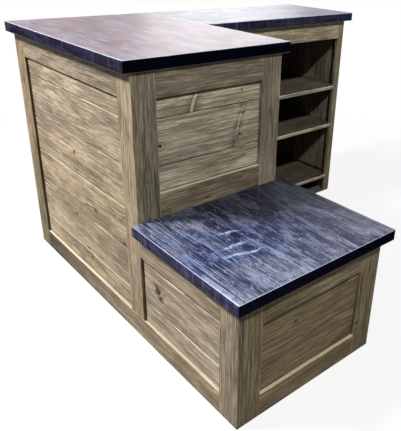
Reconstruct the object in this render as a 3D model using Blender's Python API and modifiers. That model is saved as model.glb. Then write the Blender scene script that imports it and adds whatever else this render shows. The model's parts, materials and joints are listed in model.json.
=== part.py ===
"""Cash wrap counter: an L-shaped shop counter of weathered pine with dark stained tops.

A tall block faces the customer, a low block stands at its near end, and a return of open
shelves runs back from its far end. X runs along the customer face towards the low block,
Y runs from the customer face to the staff side, and Z is up.
"""

import math

import bmesh
import bpy
from mathutils import Vector

# Overall form, in metres
COUNTER_HEIGHT = 1.016
LOW_HEIGHT = 0.479
TALL_LENGTH = 0.943
LOW_LENGTH = 0.525
BLOCK_DEPTH = 0.620
WING_DEPTH = 0.431
WING_LENGTH = 0.9525

# Tops, and how far each side overhangs the cabinet below
MAIN_TOP_THICKNESS = 0.040
LOW_TOP_THICKNESS = 0.040
FRONT_OVERHANG = 0.0265
FAR_OVERHANG = 0.018
NEAR_OVERHANG = 0.011
STAFF_OVERHANG = 0.0325
WING_OVERHANG = 0.024
WING_END_OVERHANG = 0.0325
LOW_NEAR_OVERHANG = 0.0265
LOW_STAFF_OVERHANG = 0.034

# Trim boards applied to the outer faces, and the planks between them
STILE_WIDTH = 0.0889
RAIL_WIDTH = 0.0889
BOTTOM_RAIL_WIDTH = 0.085
TRIM_THICKNESS = 0.019
PLANK_THICKNESS = 0.009
PLANK_PITCH = 0.162
FIRST_JOINT = 0.1695
NARROWEST_PLANK = 0.010

# Sheets, shelves and the open staff side
SHEET_THICKNESS = 0.018
SHELF_THICKNESS = 0.018
HOUSING_DEPTH = 0.006
STAFF_STILE_WIDTH = 0.036
APRON_WIDTH = 0.0889
DECK_HEIGHT = 0.101
WING_TOP_BAY = 0.255
WING_MIDDLE_BAY = 0.1995
TALL_TOP_BAY = 0.400

# Edges, and the gap between boards that touch
TOP_EASE = 0.003
TRIM_EASE = 0.0015
PLANK_CHAMFER = 0.0025
SEAM = 0.0003

# Heights that follow from the sizes above
MAIN_UNDERSIDE = COUNTER_HEIGHT - MAIN_TOP_THICKNESS
LOW_UNDERSIDE = LOW_HEIGHT - LOW_TOP_THICKNESS
APRON_FOOT = MAIN_UNDERSIDE - APRON_WIDTH
WING_UPPER_HEIGHT = APRON_FOOT - WING_TOP_BAY
WING_LOWER_HEIGHT = WING_UPPER_HEIGHT - SHELF_THICKNESS - WING_MIDDLE_BAY
TALL_SHELF_HEIGHT = APRON_FOOT - TALL_TOP_BAY

# Planes across X: the far face, the tall block's near face and the low block's near face
SHEET_BACK = TRIM_THICKNESS + SHEET_THICKNESS
NEAR_TRIM_BACK = TALL_LENGTH - TRIM_THICKNESS
NEAR_SHEET_BACK = TALL_LENGTH - SHEET_BACK
LOW_FACE = TALL_LENGTH + LOW_LENGTH
LOW_TRIM_BACK = LOW_FACE - TRIM_THICKNESS
LOW_SHEET_BACK = LOW_FACE - SHEET_BACK
LOW_INNER_BACK = TALL_LENGTH + SHEET_THICKNESS
WING_TRIM_BACK = WING_DEPTH - TRIM_THICKNESS

# Planes across Y: the staff face and the end of the return
STAFF_TRIM_BACK = BLOCK_DEPTH - TRIM_THICKNESS
DIVIDER_BACK = BLOCK_DEPTH + SHEET_THICKNESS
WING_END = BLOCK_DEPTH + WING_LENGTH
WING_END_SHEET = WING_END - SHEET_THICKNESS
TOPS_MEET = BLOCK_DEPTH + STAFF_OVERHANG

PLANK_FRONT = TRIM_THICKNESS - PLANK_THICKNESS

X, Y, Z = range(3)

COLLECTION_NAME = "cash_wrap_counter"
CUTTERS_NAME = "cash_wrap_counter_cutters"


def clear_scene():
    for old in list(bpy.data.objects):
        bpy.data.objects.remove(old, do_unlink=True)


def new_collection(name):
    collection = bpy.data.collections.new(name)
    bpy.context.scene.collection.children.link(collection)
    return collection


def new_material(name, colour, roughness):
    material = bpy.data.materials.new(name)
    material.use_nodes = True
    shader = material.node_tree.nodes["Principled BSDF"]
    shader.inputs["Base Color"].default_value = (*colour, 1.0)
    shader.inputs["Roughness"].default_value = roughness
    shader.inputs["Metallic"].default_value = 0.0
    return material


clear_scene()
parts = new_collection(COLLECTION_NAME)
cutters = new_collection(CUTTERS_NAME)

navy_stain = new_material("navy_stain", (0.030, 0.032, 0.062), 0.35)
weathered_trim = new_material("weathered_trim", (0.340, 0.270, 0.195), 0.65)
weathered_plank = new_material("weathered_plank", (0.360, 0.290, 0.210), 0.65)
carcass_pine = new_material("carcass_pine", (0.210, 0.175, 0.130), 0.70)
shelf_pine = new_material("shelf_pine", (0.250, 0.205, 0.150), 0.68)

# The origin lies on the floor under the middle of the whole outline. Boards stop half a seam
# short of their nominal boxes, so the empty sits half a seam low to stand the feet on the floor.
far_edge = -FAR_OVERHANG
near_edge = LOW_FACE + LOW_NEAR_OVERHANG
front_edge = -FRONT_OVERHANG
back_edge = WING_END + WING_END_OVERHANG
origin = bpy.data.objects.new("counter_origin", None)
origin.location = (-(far_edge + near_edge) / 2, -(front_edge + back_edge) / 2, -SEAM / 2)
parts.objects.link(origin)

boxes = {}


def box_object(name, low, high, grow, collection):
    """A box between two corners, each face moved out by grow, with its origin at its middle."""
    low = Vector(low)
    high = Vector(high)
    size = high - low + Vector((2 * grow, 2 * grow, 2 * grow))
    mesh = bpy.data.meshes.new(name)
    shape = bmesh.new()
    bmesh.ops.create_cube(shape, size=1.0)
    bmesh.ops.scale(shape, vec=size, verts=shape.verts)
    shape.to_mesh(mesh)
    shape.free()
    made = bpy.data.objects.new(name, mesh)
    made.location = (low + high) / 2
    made.parent = origin
    collection.objects.link(made)
    return made


def board(name, low, high, material):
    """A board in its nominal box, half a seam short of it all round."""
    made = box_object(name, low, high, -SEAM / 2, parts)
    made.data.materials.append(material)
    boxes[name] = (low, high)
    return made


def ease_edges(piece, width, segments):
    bevel = piece.modifiers.new("eased_edges", "BEVEL")
    bevel.width = width
    bevel.segments = segments
    bevel.limit_method = "ANGLE"


def cut_away(piece, cutter):
    cutter.hide_render = True
    cutter.display_type = "WIRE"
    cut = piece.modifiers.new("cut_" + cutter.name, "BOOLEAN")
    cut.operation = "DIFFERENCE"
    cut.solver = "EXACT"
    cut.object = cutter


def fit_round(piece, other_name):
    """Cuts the room that another board takes out of this one, with a seam all round it."""
    low, high = boxes[other_name]
    cut_away(piece, box_object(f"{piece.name}_for_{other_name}", low, high, SEAM / 2, cutters))


def trim(name, low, high):
    made = board(name, low, high, weathered_trim)
    ease_edges(made, TRIM_EASE, 1)
    return made


def joint_heights(foot, head):
    """The heights of the plank joints between foot and head, at one pitch all round the counter."""
    heights = []
    height = FIRST_JOINT
    while height < head - NARROWEST_PLANK:
        if height > foot + NARROWEST_PLANK:
            heights.append(height)
        height += PLANK_PITCH
    return heights


def chamfer_long_front_edges(piece, facing):
    """Chamfers the two level edges on the side that faces along the given direction."""
    axis = max((X, Y), key=lambda index: abs(facing[index]))
    along = Y if axis == X else X
    shape = bmesh.new()
    shape.from_mesh(piece.data)
    chosen = []
    for edge in shape.edges:
        first, second = edge.verts
        in_front = first.co[axis] * facing[axis] > 0 and second.co[axis] * facing[axis] > 0
        level = abs(first.co[along] - second.co[along]) > SEAM
        if in_front and level:
            chosen.append(edge)
    bmesh.ops.bevel(shape, geom=chosen, offset=PLANK_CHAMFER, segments=1, affect="EDGES")
    shape.to_mesh(piece.data)
    shape.free()


def plank_wall(name, low, high, facing):
    """Level planks that fill an opening from its foot up, meeting in V joints."""
    levels = [low[Z], *joint_heights(low[Z], high[Z]), high[Z]]
    for number, (foot, head) in enumerate(zip(levels, levels[1:]), start=1):
        made = board(
            f"{name}_{number}",
            (low[X], low[Y], foot),
            (high[X], high[Y], head),
            weathered_plank,
        )
        chamfer_long_front_edges(made, facing)


def add_tops():
    main_top = board(
        "main_top",
        (-FAR_OVERHANG, -FRONT_OVERHANG, MAIN_UNDERSIDE),
        (TALL_LENGTH + NEAR_OVERHANG, TOPS_MEET, COUNTER_HEIGHT),
        navy_stain,
    )
    return_top = board(
        "return_top",
        (-FAR_OVERHANG, TOPS_MEET, MAIN_UNDERSIDE),
        (WING_DEPTH + WING_OVERHANG, WING_END + WING_END_OVERHANG, COUNTER_HEIGHT),
        navy_stain,
    )
    low_top = board(
        "low_top",
        (TALL_LENGTH, -FRONT_OVERHANG, LOW_UNDERSIDE),
        (LOW_FACE + LOW_NEAR_OVERHANG, BLOCK_DEPTH + LOW_STAFF_OVERHANG, LOW_HEIGHT),
        navy_stain,
    )
    for top in (main_top, return_top, low_top):
        ease_edges(top, TOP_EASE, 2)


def add_front_face():
    """The customer face: one bottom rail under both blocks, three stiles and two panels of planks."""
    back = TRIM_THICKNESS
    mid_stile = TALL_LENGTH - STILE_WIDTH
    near_stile = LOW_FACE - STILE_WIDTH
    tall_rail = MAIN_UNDERSIDE - RAIL_WIDTH
    low_rail = LOW_UNDERSIDE - RAIL_WIDTH
    trim("front_far_stile", (0, 0, 0), (STILE_WIDTH, back, MAIN_UNDERSIDE))
    trim("front_mid_stile", (mid_stile, 0, BOTTOM_RAIL_WIDTH), (TALL_LENGTH, back, MAIN_UNDERSIDE))
    trim("front_near_stile", (near_stile, 0, 0), (LOW_FACE, back, LOW_UNDERSIDE))
    trim("front_bottom_rail", (STILE_WIDTH, 0, 0), (near_stile, back, BOTTOM_RAIL_WIDTH))
    trim("front_tall_top_rail", (STILE_WIDTH, 0, tall_rail), (mid_stile, back, MAIN_UNDERSIDE))
    trim("front_low_top_rail", (TALL_LENGTH, 0, low_rail), (near_stile, back, LOW_UNDERSIDE))
    plank_wall(
        "front_tall_plank",
        (STILE_WIDTH, PLANK_FRONT, BOTTOM_RAIL_WIDTH),
        (mid_stile, back, tall_rail),
        (0, -1),
    )
    plank_wall(
        "front_low_plank",
        (TALL_LENGTH, PLANK_FRONT, BOTTOM_RAIL_WIDTH),
        (near_stile, back, low_rail),
        (0, -1),
    )


def add_near_face(name, face, foot, sill, sill_width, underside):
    """A framed end that faces the low end: two stiles, two rails and a panel of planks."""
    back = face - TRIM_THICKNESS
    right_stile = BLOCK_DEPTH - STILE_WIDTH
    panel_foot = sill + sill_width
    panel_head = underside - RAIL_WIDTH
    trim(f"{name}_left_stile", (back, TRIM_THICKNESS, foot), (face, STILE_WIDTH, underside))
    trim(f"{name}_right_stile", (back, right_stile, foot), (face, BLOCK_DEPTH, underside))
    trim(f"{name}_bottom_rail", (back, STILE_WIDTH, sill), (face, right_stile, panel_foot))
    trim(f"{name}_top_rail", (back, STILE_WIDTH, panel_head), (face, right_stile, underside))
    plank_wall(
        f"{name}_plank",
        (back, STILE_WIDTH, panel_foot),
        (face - PLANK_FRONT, right_stile, panel_head),
        (1, 0),
    )


def add_far_face():
    """The hidden outer face of the return: a frame round one panel grooved like the planks."""
    wing_stile = WING_END - STILE_WIDTH
    top_rail = MAIN_UNDERSIDE - RAIL_WIDTH
    back = TRIM_THICKNESS
    trim("far_front_stile", (0, TRIM_THICKNESS, 0), (back, STILE_WIDTH, MAIN_UNDERSIDE))
    trim("far_wing_stile", (0, wing_stile, 0), (back, WING_END, MAIN_UNDERSIDE))
    trim("far_bottom_rail", (0, STILE_WIDTH, 0), (back, wing_stile, BOTTOM_RAIL_WIDTH))
    trim("far_top_rail", (0, STILE_WIDTH, top_rail), (back, wing_stile, MAIN_UNDERSIDE))
    panel = board(
        "far_grooved_panel",
        (PLANK_FRONT, STILE_WIDTH, BOTTOM_RAIL_WIDTH),
        (back, wing_stile, top_rail),
        weathered_plank,
    )
    half_side = PLANK_CHAMFER / math.sqrt(2)
    for number, height in enumerate(joint_heights(BOTTOM_RAIL_WIDTH, top_rail), start=1):
        groove = box_object(
            f"far_groove_{number}",
            (PLANK_FRONT - half_side, 0, height - half_side),
            (PLANK_FRONT + half_side, WING_END, height + half_side),
            0,
            cutters,
        )
        groove.rotation_euler[Y] = math.pi / 4
        cut_away(panel, groove)


def add_sheets():
    """The plain sheets behind the trim, which carry the tops and house the shelves."""
    front = TRIM_THICKNESS
    tall_head = MAIN_UNDERSIDE
    low_head = LOW_UNDERSIDE
    for name, low, high in (
        ("tall_front_sheet", (SHEET_BACK, front, 0), (NEAR_TRIM_BACK, SHEET_BACK, tall_head)),
        ("tall_end_sheet", (NEAR_SHEET_BACK, SHEET_BACK, 0), (NEAR_TRIM_BACK, STAFF_TRIM_BACK, tall_head)),
        ("far_sheet", (TRIM_THICKNESS, front, 0), (SHEET_BACK, WING_END, tall_head)),
        ("wing_divider", (SHEET_BACK, BLOCK_DEPTH, 0), (WING_TRIM_BACK, DIVIDER_BACK, tall_head)),
        ("wing_end_sheet", (SHEET_BACK, WING_END_SHEET, 0), (WING_TRIM_BACK, WING_END, tall_head)),
        ("low_front_sheet", (TALL_LENGTH, front, 0), (LOW_TRIM_BACK, SHEET_BACK, low_head)),
        ("low_inner_sheet", (TALL_LENGTH, SHEET_BACK, 0), (LOW_INNER_BACK, BLOCK_DEPTH, low_head)),
        ("low_end_sheet", (LOW_SHEET_BACK, SHEET_BACK, 0), (LOW_TRIM_BACK, BLOCK_DEPTH, low_head)),
    ):
        board(name, low, high, carcass_pine)


def add_staff_frames():
    """Narrow stiles and aprons round the open staff sides."""
    right_inner = WING_END - STAFF_STILE_WIDTH
    left_inner = BLOCK_DEPTH + STAFF_STILE_WIDTH
    tall_right = NEAR_TRIM_BACK - STAFF_STILE_WIDTH
    low_apron = LOW_UNDERSIDE - APRON_WIDTH
    back = WING_TRIM_BACK
    face = WING_DEPTH
    trim("wing_left_stile", (back, BLOCK_DEPTH, 0), (face, left_inner, MAIN_UNDERSIDE))
    trim("wing_right_stile", (back, right_inner, 0), (face, WING_END, MAIN_UNDERSIDE))
    trim("wing_apron", (back, left_inner, APRON_FOOT), (face, right_inner, MAIN_UNDERSIDE))
    back = STAFF_TRIM_BACK
    face = BLOCK_DEPTH
    trim("tall_staff_stile", (tall_right, back, 0), (NEAR_TRIM_BACK, face, MAIN_UNDERSIDE))
    trim("tall_staff_apron", (WING_DEPTH, back, APRON_FOOT), (tall_right, face, MAIN_UNDERSIDE))
    trim("low_staff_apron", (LOW_INNER_BACK, back, low_apron), (LOW_SHEET_BACK, face, LOW_UNDERSIDE))


def shelf(name, low, high, top, housed_in, notched_round):
    """A shelf whose ends sit in grooves in two sheets, notched round the stiles at its front."""
    made = board(name, (*low, top - SHELF_THICKNESS), (*high, top), shelf_pine)
    for sheet in housed_in:
        fit_round(bpy.data.objects[sheet], name)
    for stile in notched_round:
        fit_round(made, stile)


def add_shelves():
    wing_low = (SHEET_BACK, DIVIDER_BACK - HOUSING_DEPTH)
    wing_high = (WING_DEPTH, WING_END_SHEET + HOUSING_DEPTH)
    wing_sides = ("wing_divider", "wing_end_sheet")
    wing_stiles = ("wing_left_stile", "wing_right_stile")
    shelf("wing_upper_shelf", wing_low, wing_high, WING_UPPER_HEIGHT, wing_sides, wing_stiles)
    shelf("wing_lower_shelf", wing_low, wing_high, WING_LOWER_HEIGHT, wing_sides, wing_stiles)
    shelf("wing_deck", wing_low, wing_high, DECK_HEIGHT, wing_sides, wing_stiles)

    tall_low = (SHEET_BACK - HOUSING_DEPTH, SHEET_BACK)
    tall_high = (NEAR_SHEET_BACK + HOUSING_DEPTH, BLOCK_DEPTH)
    tall_sides = ("far_sheet", "tall_end_sheet")
    tall_stiles = ("tall_staff_stile",)
    shelf("tall_shelf", tall_low, tall_high, TALL_SHELF_HEIGHT, tall_sides, tall_stiles)
    shelf("tall_deck", tall_low, tall_high, DECK_HEIGHT, tall_sides, tall_stiles)

    low_low = (LOW_INNER_BACK - HOUSING_DEPTH, SHEET_BACK)
    low_high = (LOW_SHEET_BACK + HOUSING_DEPTH, BLOCK_DEPTH)
    shelf("low_deck", low_low, low_high, DECK_HEIGHT, ("low_inner_sheet", "low_end_sheet"), ())


add_tops()
add_front_face()
# The tall end's bottom rail runs down behind the low top, so only its upper part shows.
add_near_face(
    "near_tall", TALL_LENGTH, 0, LOW_UNDERSIDE, LOW_TOP_THICKNESS + BOTTOM_RAIL_WIDTH, MAIN_UNDERSIDE
)
add_near_face("near_low", LOW_FACE, 0, 0, BOTTOM_RAIL_WIDTH, LOW_UNDERSIDE)
add_far_face()
add_sheets()
add_staff_frames()
add_shelves()
bpy.context.view_layer.update()
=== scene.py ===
# %% [markdown]
# # A cash wrap counter in weathered pine
# A shop counter is mostly boards: stiles, rails, planks, shelves and thick glued tops. The frame
# gives the true box of every board, and this lesson dresses each one as worn timber. Boards are
# grown from one Geometry Nodes tree, and their grain is a solid pattern that follows each board.

import json
import math
import random
from types import SimpleNamespace

import bpy
from mathutils import Matrix, Vector


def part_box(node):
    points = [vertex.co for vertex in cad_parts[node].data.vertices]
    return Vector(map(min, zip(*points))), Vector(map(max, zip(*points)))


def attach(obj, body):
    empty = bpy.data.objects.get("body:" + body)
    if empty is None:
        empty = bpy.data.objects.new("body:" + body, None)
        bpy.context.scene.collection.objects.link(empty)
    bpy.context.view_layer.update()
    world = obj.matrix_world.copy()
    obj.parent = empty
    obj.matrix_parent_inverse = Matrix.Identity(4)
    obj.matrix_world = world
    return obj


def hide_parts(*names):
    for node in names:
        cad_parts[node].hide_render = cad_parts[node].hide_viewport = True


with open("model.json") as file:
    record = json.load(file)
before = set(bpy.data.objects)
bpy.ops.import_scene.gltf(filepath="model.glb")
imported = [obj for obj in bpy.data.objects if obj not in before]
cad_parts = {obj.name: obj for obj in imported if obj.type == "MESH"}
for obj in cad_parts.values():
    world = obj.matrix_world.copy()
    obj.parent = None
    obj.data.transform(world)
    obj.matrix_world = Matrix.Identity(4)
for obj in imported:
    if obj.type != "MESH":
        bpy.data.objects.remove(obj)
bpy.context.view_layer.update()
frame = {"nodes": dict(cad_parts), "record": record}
slot_of = {part["node"]: part["material_slot"] for part in frame["record"]["subparts"]}
print(len(frame["nodes"]), "boards in the frame")

# %% [markdown]
# ## The camera
# A photograph's viewpoint can be guessed by eye or worked out from edges that are square on the
# real object. Here it was worked out, so the camera is written as a place, three turns and a focal
# length in pixels. The picture was cropped off centre, which a small lens shift repeats.

# %% Camera
PHOTO_WIDTH = 401
PHOTO_HEIGHT = 431
FOCAL_PIXELS = 542.3
CENTRE_ACROSS = 248.7
CENTRE_DOWN = 191.6
CAMERA_PLACE = Vector((1.6250, -1.5645, 1.3268))
CAMERA_HEADING = math.radians(138.50)
CAMERA_PITCH = math.radians(-24.47)
CAMERA_ROLL = math.radians(1.88)
SENSOR_WIDTH = 36.0


def camera_axes(heading, pitch, roll):
    """The camera's right, up and backward directions as the columns of a matrix."""
    forward = Vector((
        math.cos(pitch) * math.cos(heading),
        math.cos(pitch) * math.sin(heading),
        math.sin(pitch),
    ))
    level = forward.cross(Vector((0, 0, 1))).normalized()
    upward = level.cross(forward)
    right = math.cos(roll) * level + math.sin(roll) * upward
    up = math.cos(roll) * upward - math.sin(roll) * level
    return Matrix((right, up, -forward)).transposed()


lens = bpy.data.cameras.new("photo_camera")
lens.sensor_width = SENSOR_WIDTH
lens.lens = FOCAL_PIXELS * SENSOR_WIDTH / PHOTO_HEIGHT
lens.shift_x = (PHOTO_WIDTH / 2 - CENTRE_ACROSS) / PHOTO_HEIGHT
lens.shift_y = (CENTRE_DOWN - PHOTO_HEIGHT / 2) / PHOTO_HEIGHT
camera = bpy.data.objects.new("photo_camera", lens)
turned = camera_axes(CAMERA_HEADING, CAMERA_PITCH, CAMERA_ROLL).to_4x4()
camera.matrix_world = Matrix.Translation(CAMERA_PLACE) @ turned
bpy.context.scene.collection.objects.link(camera)
bpy.context.scene.camera = camera
bpy.context.scene.view_settings.view_transform = "Standard"
print("lens", round(lens.lens, 2), "mm")

# %% [markdown]
# ## Wiring nodes by script
# Geometry and shader trees are long lists of small sums, and placing each by hand hides the idea.
# These calls each add a node and return its output, so that a finish below reads like a formula. A
# socket knows its own tree, so values are all that a call needs. Plain numbers are set, not linked.


# %% Short calls for nodes
def add_node(beside, kind, **settings):
    """A new node in the tree of the given socket, node or tree."""
    made = beside.id_data.nodes.new(kind)
    for name, value in settings.items():
        setattr(made, name, value)
    return made


def feed(socket, value):
    if isinstance(value, bpy.types.NodeSocket):
        socket.id_data.links.new(value, socket)
    elif socket.type == "VECTOR" and isinstance(value, (int, float)):
        socket.default_value = (value, value, value)
    elif socket.type == "RGBA" and len(value) == 3:
        socket.default_value = (*value, 1.0)
    else:
        socket.default_value = value


def feed_all(made, values):
    for label, value in values.items():
        feed(made.inputs[label], value)
    return made


def labelled(beside, kind, values, **settings):
    """A new node whose inputs take values by their labels."""
    return feed_all(add_node(beside, kind, **settings), values)


def fill(kind, values, **settings):
    """A new node whose first inputs take values in order, at least one of them a socket."""
    beside = next(value for value in values if isinstance(value, bpy.types.NodeSocket))
    made = add_node(beside, kind, **settings)
    for socket, value in zip(made.inputs, values):
        feed(socket, value)
    return made


def scalar(operation, *values):
    return fill("ShaderNodeMath", values, operation=operation).outputs[0]


def vector(operation, *values):
    return fill("ShaderNodeVectorMath", values, operation=operation).outputs["Vector"]


def folding(call, operation):
    """A call for two or more values, which are taken one after the other."""
    def fold(first, *others):
        for other in others:
            first = call(operation, first, other)
        return first
    return fold


FOLDS = ("ADD", "SUBTRACT", "MULTIPLY", "DIVIDE", "MINIMUM", "MAXIMUM")
plus, minus, times, over, least, most = (folding(scalar, operation) for operation in FOLDS)
shifted, apart, stretched = (folding(vector, operation) for operation in FOLDS[:3])


def dot(*values):
    return fill("ShaderNodeVectorMath", values, operation="DOT_PRODUCT").outputs["Value"]


def length_of(value):
    return scalar("SQRT", dot(value, value))


def split(value):
    return fill("ShaderNodeSeparateXYZ", (value,)).outputs[:]


def join(*values):
    return fill("ShaderNodeCombineXYZ", values).outputs[0]


print(len(FOLDS), "sums have short names")


# %% Short calls for patterns and paints
def noise(place, scale, detail=3.0, roughness=0.55, distortion=0.0):
    values = {"Vector": place, "Scale": scale, "Detail": detail, "Roughness": roughness}
    values["Distortion"] = distortion
    return labelled(place, "ShaderNodeTexNoise", values).outputs[0]


def drawn_noise(grain, along, across, *settings):
    """Noise with so many waves per metre of grain, drawn out along the board."""
    return noise(stretched(grain, (along, across, across)), 1.0, *settings)


def ease(value, low, high, bottom=0.0, top=1.0):
    """A smooth step from bottom to top while value goes from low to high."""
    values = (value, low, high, bottom, top)
    return fill("ShaderNodeMapRange", values, interpolation_type="SMOOTHSTEP").outputs[0]


def blend(share, first, second, blend_type="MIX"):
    made = add_node(share, "ShaderNodeMix", data_type="RGBA", blend_type=blend_type)
    feed(made.inputs["Factor"], share)
    colours = [socket for socket in made.inputs if socket.type == "RGBA"]
    feed(colours[0], first)
    feed(colours[1], second)
    return next(socket for socket in made.outputs if socket.type == "RGBA")


def coats(colour, *layers):
    """Lays paints over a colour in turn, each by a share, or by a pattern, its step and strength."""
    for share, *steps, paint in layers:
        if steps:
            low, high, strength = steps
            share = ease(share, low, high, 0.0, strength)
        colour = blend(share, colour, paint)
    return colour

# %% [markdown]
# ## Light
# The shadows in the photograph show a soft lamp before the customer face, a weaker one overhead,
# and a small one near the low block, which draws slanted shadows inside the return. A sun or a
# bright sky would light every side alike, so lamps of the right size and place are used instead. A
# weak lamp behind gives the tall top its sheen.

# %% Lamps
LIT_POINT = Vector((0.0, -0.2, 0.5))
TALL_TOP_POINT = Vector((0.03, -0.22, 1.016))
# The point that a lamp shines at, the way towards it, its distance, width, watts and colour
LAMPS = {
    "customer_lamp": (LIT_POINT, (-0.31, -0.80, 0.92), 4.5, 0.7, 275, (1.0, 0.97, 0.92)),
    "ceiling_lamp": (LIT_POINT, (-0.167, -0.19, 0.537), 4.5, 0.8, 48, (0.96, 0.98, 1.0)),
    "near_lamp": (LIT_POINT, (0.75, -0.20, 0.95), 4.5, 0.30, 109, (0.95, 1.0, 0.94)),
    "sheen_lamp": (TALL_TOP_POINT, (-0.79, 0.59, 0.24), 3.2, 1.5, 12, (0.97, 1.0, 1.0)),
}


def area_lamp(name, target, towards, distance, width, power, colour):
    """A round lamp that shines at a target from the given direction."""
    light = bpy.data.lights.new(name, "AREA")
    light.shape = "DISK"
    light.size = width
    light.energy = power
    light.color = colour
    lamp = bpy.data.objects.new(name, light)
    lamp.location = target + Vector(towards).normalized() * distance
    lamp.rotation_euler = Vector(towards).to_track_quat("Z", "Y").to_euler()
    lamp.visible_camera = False
    bpy.context.scene.collection.objects.link(lamp)
    print(name, [round(part, 2) for part in lamp.location])


for lamp_name, lamp_settings in LAMPS.items():
    area_lamp(lamp_name, *lamp_settings)

# %% [markdown]
# ## White world and floor
# A product picture stands on white paper. Lighting the paper until it is white would flood the
# counter with light from below, and the photograph's shadows are deep. So the floor and the world
# only look white to the camera and in reflections, and add little light. The floor keeps a faint
# shadow. In the toe spaces under the decks the white gives way to a dark paint, a painted shade, lit only by
# the light that falls there.

# %% White world
WHITE = (1.0, 1.0, 1.0)
AMBIENT_COLOUR = (0.93, 0.96, 1.0)
AMBIENT_STRENGTH = 0.05
ROOM_STRENGTH = 0.10
BACKDROP_WAY = (-0.74, 0.66, 0.10)
BACKDROP_FADE = (-0.1, 0.6)


def empty_tree(owner):
    owner.use_nodes = True
    owner.node_tree.nodes.clear()
    return owner.node_tree


def seen_directly(tree):
    """1 for rays of the camera, of reflections and through glass, else 0."""
    path = add_node(tree, "ShaderNodeLightPath").outputs
    return most(path["Is Camera Ray"], path["Is Glossy Ray"], path["Is Transmission Ray"])


def end_in_mix(output, share, first, second):
    """Ends a tree in a mix of two shaders."""
    mixed = fill("ShaderNodeMixShader", (share, first.outputs[0], second.outputs[0]))
    labelled(share, output, {"Surface": mixed.outputs[0]})


def white_world():
    world = bpy.data.worlds.new("white_world")
    tree = empty_tree(world)
    ambient = {"Color": AMBIENT_COLOUR, "Strength": AMBIENT_STRENGTH}
    soft = labelled(tree, "ShaderNodeBackground", ambient)

    # Reflections see the white backdrop behind the counter and a dim room on the camera's side
    way = add_node(tree, "ShaderNodeTexCoord").outputs["Generated"]
    mirrored = ease(dot(way, BACKDROP_WAY), *BACKDROP_FADE, ROOM_STRENGTH, 1.0)
    camera_ray = add_node(tree, "ShaderNodeLightPath").outputs["Is Camera Ray"]
    backdrop = {"Color": WHITE, "Strength": most(mirrored, camera_ray)}
    white = labelled(tree, "ShaderNodeBackground", backdrop)
    end_in_mix("ShaderNodeOutputWorld", seen_directly(tree), soft, white)
    return world


bpy.context.scene.world = white_world()
print("world:", len(bpy.context.scene.world.node_tree.nodes), "nodes")

# %% Pale floor
FLOOR_RADIUS = 9.0
FLOOR_SIDES = 96
FLOOR_DROP = 0.0005
FLOOR_WHITE_NEAR = 0.86
FLOOR_PAINT_SEEN = (0.90, 0.90, 0.90)
FLOOR_PAINT_UNSEEN_AND_TOE_SHADE = (0.14, 0.14, 0.14)
FLOOR_FADE = (1.4, 2.6)
DECKS = ("wing_deck", "tall_deck", "low_deck")
TOE_FADE = 0.010


def corners(node):
    return [Vector(corner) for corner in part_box(node)]


def gaps_inside(place, middle, half):
    """How far a point lies inside a box, counted along each of the three axes."""
    from_middle = vector("ABSOLUTE", apart(place, middle))
    return split(apart(half, from_middle))


def under_decks(place):
    """1 on the floor of the toe spaces, where the white gives way to real light on a painted shade, else 0.
    """
    depths = []
    for node in DECKS:
        low, high = corners(node)
        gap_x, gap_y, _ = gaps_inside(place, (low + high) / 2, (high - low) / 2)
        depths.append(least(gap_x, gap_y))
    return ease(most(*depths), -TOE_FADE, 0.0)


def pale_floor():
    material = bpy.data.materials.new("pale_floor")
    tree = empty_tree(material)
    seen = seen_directly(tree)
    place = add_node(tree, "ShaderNodeTexCoord").outputs["Object"]
    under = under_decks(place)
    # In the toe spaces the floor that the camera sees is painted dark, a painted shade of the decks above
    seen_paint_with_toe_shade = blend(under, FLOOR_PAINT_SEEN, FLOOR_PAINT_UNSEEN_AND_TOE_SHADE)
    colour = blend(seen, FLOOR_PAINT_UNSEEN_AND_TOE_SHADE, seen_paint_with_toe_shade)
    paint = labelled(tree, "ShaderNodeBsdfDiffuse", {"Color": colour})
    whiteness = ease(length_of(place), *FLOOR_FADE, FLOOR_WHITE_NEAR, 1.0)
    share = times(whiteness, minus(1.0, under), seen)
    white = add_node(tree, "ShaderNodeEmission")
    end_in_mix("ShaderNodeOutputMaterial", share, paint, white)
    return material


bpy.ops.mesh.primitive_circle_add(vertices=FLOOR_SIDES, radius=FLOOR_RADIUS, fill_type="NGON")
floor = bpy.context.object
floor.name = "studio_floor"
floor.location.z = -FLOOR_DROP
floor.data.materials.append(pale_floor())
print("floor radius", FLOOR_RADIUS, "m")

# %% [markdown]
# ## The shape of a worn board
# A sawn board is a box whose arrises are eased with sandpaper and then knocked about in use. A
# bevel would make every edge alike, so this tree lays a grid over the box, with two rows of points
# close to each edge. It rounds the edges, wears them here and there and leaves the faces slightly
# uneven. All wear goes inwards, so a board never grows out of its box.

# %% Grid over a box
VECTOR = "NodeSocketVector"
NUMBER = "NodeSocketFloat"
BOARD_INPUTS = {
    **dict.fromkeys(("Size", "Middle", "Rounded Ways", "Noise Start"), VECTOR),
    **dict.fromkeys(("Spacing", "Edge Radius", "Edge Wear", "Unevenness"), NUMBER),
}
FIRST_ROW = math.sqrt(2) - 1
EDGE_ROWS = 2


def new_tree(name, inputs):
    """A geometry tree with named inputs. Gives their sockets and their identifiers."""
    tree = bpy.data.node_groups.new(name, "GeometryNodeTree")
    for way in ("INPUT", "OUTPUT"):
        tree.interface.new_socket("Geometry", in_out=way, socket_type="NodeSocketGeometry")
    keys = {}
    for label, kind in inputs.items():
        keys[label] = tree.interface.new_socket(label, in_out="INPUT", socket_type=kind).identifier
    return add_node(tree, "NodeGroupInput").outputs, keys


def end_tree(geometry):
    labelled(geometry, "NodeGroupOutput", {"Geometry": geometry})
    return geometry.id_data


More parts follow.
